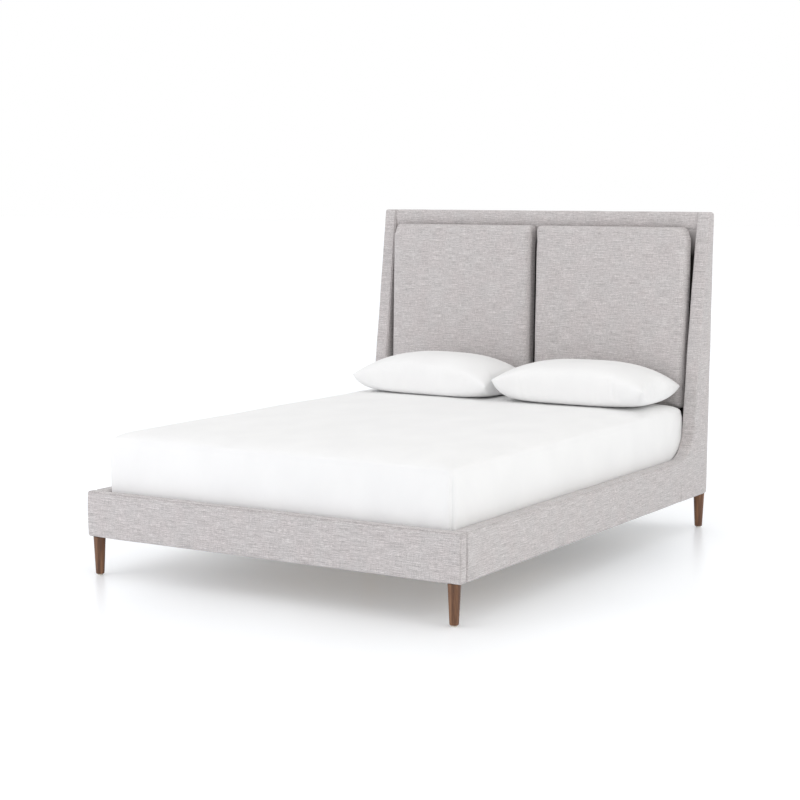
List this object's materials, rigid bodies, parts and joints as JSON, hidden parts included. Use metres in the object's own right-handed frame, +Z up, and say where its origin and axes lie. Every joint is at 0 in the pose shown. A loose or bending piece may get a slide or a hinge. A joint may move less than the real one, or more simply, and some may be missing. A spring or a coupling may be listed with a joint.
{
  "type": "upholstered winged bed",
  "caption": "Queen-size upholstered platform bed whose side rails sweep up into a slim winged headboard with two loose cushions, on short turned legs, with mattress and pillows.",
  "frame": {"origin": "on the floor, in the middle of the bed's width and length", "axes": "+Z up, +Y from the foot towards the headboard, +X to the right seen from the foot"},
  "size_m": [1.665, 2.242, 1.395],
  "materials": {
    "upholstery_fabric": "heathered light grey linen-look weave",
    "white_cotton": "smooth white percale",
    "walnut": "satin lacquered",
    "frame_timber": "planed, unfinished",
    "plywood": "sanded, unfinished",
    "zinc_steel": "zinc plated",
    "nylon": "matt",
    "webbing": "woven tape",
    "hook_and_loop": "black pile"
  },
  "bodies": {
    "frame": {"foot_rail_core": "frame_timber", "foot_rail_upholstery": "upholstery_fabric", "side_rail_core_left": "frame_timber", "side_rail_core_right": "frame_timber", "side_rail_upholstery_left": "upholstery_fabric", "side_rail_upholstery_right": "upholstery_fabric", "slat_ledger_left": "frame_timber", "slat_ledger_right": "frame_timber", "ledger_screws": "zinc_steel", "wing_core_left": "frame_timber", "wing_core_right": "frame_timber", "wing_upholstery_left": "upholstery_fabric", "wing_upholstery_right": "upholstery_fabric", "headboard_post_left": "frame_timber", "headboard_post_right": "frame_timber", "headboard_top_rail": "frame_timber", "headboard_mid_rail": "frame_timber", "headboard_bottom_rail": "frame_timber", "headboard_front_panel": "plywood", "headboard_upholstery": "upholstery_fabric", "headboard_back_cover": "upholstery_fabric", "headboard_bolts": "zinc_steel", "cushion_left": "upholstery_fabric", "cushion_right": "upholstery_fabric", "cushion_fastener_strips": "hook_and_loop", "leg_front_left": "walnut", "leg_front_right": "walnut", "leg_rear_left": "walnut", "leg_rear_right": "walnut", "leg_hanger_bolts": "zinc_steel", "leg_glides": "nylon", "threaded_inserts": "zinc_steel", "centre_beam": "frame_timber", "beam_hangers": "zinc_steel", "support_leg_1": "frame_timber", "support_leg_2": "frame_timber", "support_leg_3": "frame_timber", "slat_webbing": "webbing", "corner_brackets": "zinc_steel", "rail_joint_plates": "zinc_steel", "frame_bolts": "zinc_steel", "slat_1": "plywood", "slat_2": "plywood", "slat_3": "plywood", "slat_4": "plywood", "slat_5": "plywood", "slat_6": "plywood", "slat_7": "plywood", "slat_8": "plywood", "slat_9": "plywood", "slat_10": "plywood", "slat_11": "plywood", "slat_12": "plywood", "slat_13": "plywood"},
    "mattress": {"mattress": "white_cotton"},
    "pillow_left": {"pillow_left": "white_cotton"},
    "pillow_right": {"pillow_right": "white_cotton"},
    "leveller_1": {"leveller_1": "zinc_steel"},
    "leveller_2": {"leveller_2": "zinc_steel"},
    "leveller_3": {"leveller_3": "zinc_steel"}
  },
  "joints": [
    {"name": "mattress_lift", "type": "slide", "parent": "frame", "child": "mattress", "axis": [0, 0, 1], "range_m": [0, 0.6]},
    {"name": "pillow_left_lift", "type": "slide", "parent": "mattress", "child": "pillow_left", "axis": [0, 0, 1], "range_m": [0, 0.4]},
    {"name": "pillow_right_lift", "type": "slide", "parent": "mattress", "child": "pillow_right", "axis": [0, 0, 1], "range_m": [0, 0.4]},
    {"name": "leveller_1_screw", "type": "slide", "parent": "frame", "child": "leveller_1", "axis": [0, 0, 1], "range_m": [-0.01, 0.012]},
    {"name": "leveller_2_screw", "type": "slide", "parent": "frame", "child": "leveller_2", "axis": [0, 0, 1], "range_m": [-0.01, 0.012]},
    {"name": "leveller_3_screw", "type": "slide", "parent": "frame", "child": "leveller_3", "axis": [0, 0, 1], "range_m": [-0.01, 0.012]}
  ]
}
